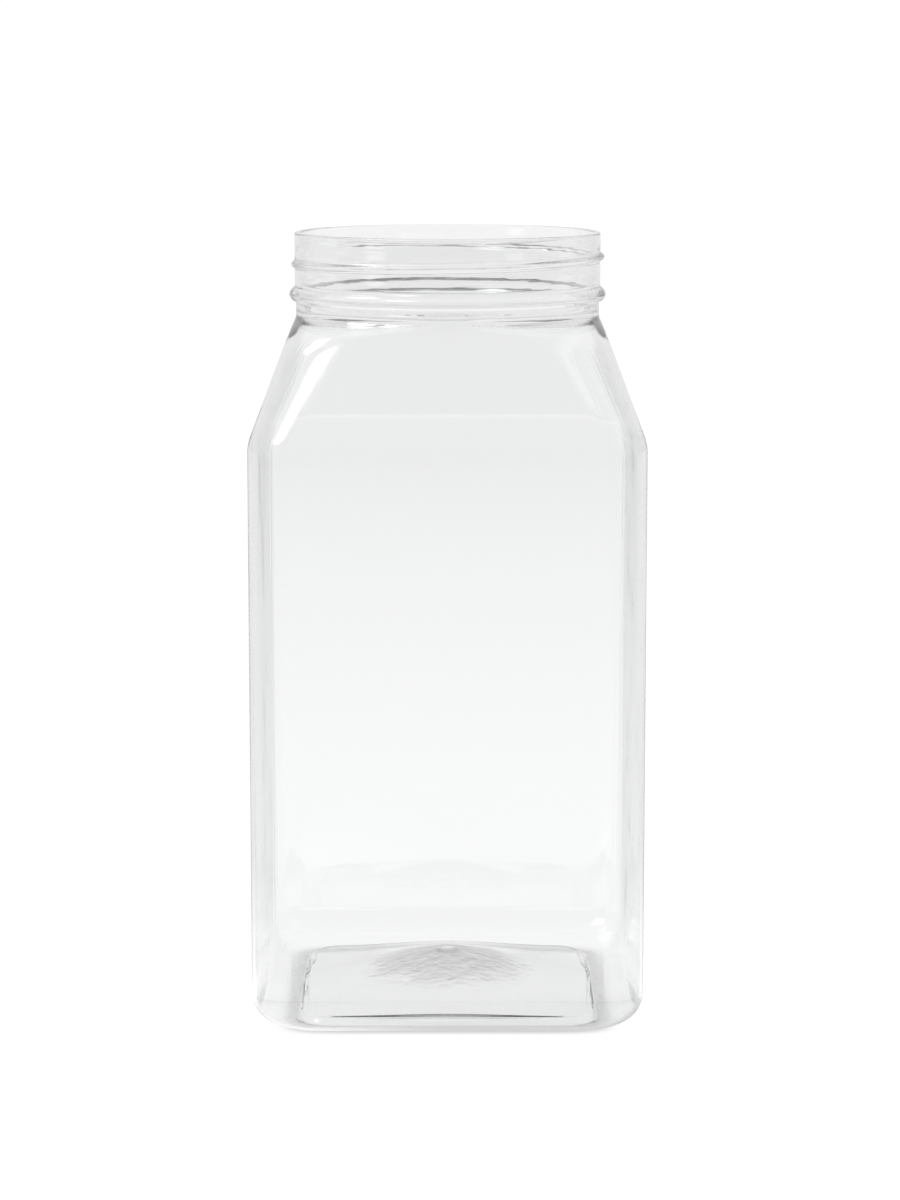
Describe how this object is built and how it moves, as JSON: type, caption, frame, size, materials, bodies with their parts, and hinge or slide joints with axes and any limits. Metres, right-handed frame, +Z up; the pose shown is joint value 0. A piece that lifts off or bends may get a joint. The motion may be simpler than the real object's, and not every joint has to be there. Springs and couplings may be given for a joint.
{
  "type": "wide-mouth square jar",
  "caption": "Clear square jar with rounded corners, a sloped shoulder, a wide round threaded neck with a support bead, and a pushed-up base. Open, without its lid.",
  "frame": {"origin": "centre of the standing plane, on the jar's axis", "axes": "+Z up through the mouth; the four flat sides face +X, -X, +Y and -Y"},
  "size_m": [0.109, 0.109, 0.22],
  "materials": {
    "clear_plastic": "clear, glossy, faintly green-grey, slightly hazy at the middle of the base"
  },
  "bodies": {
    "root": {"jar_body": "clear_plastic"}
  },
  "joints": []
}
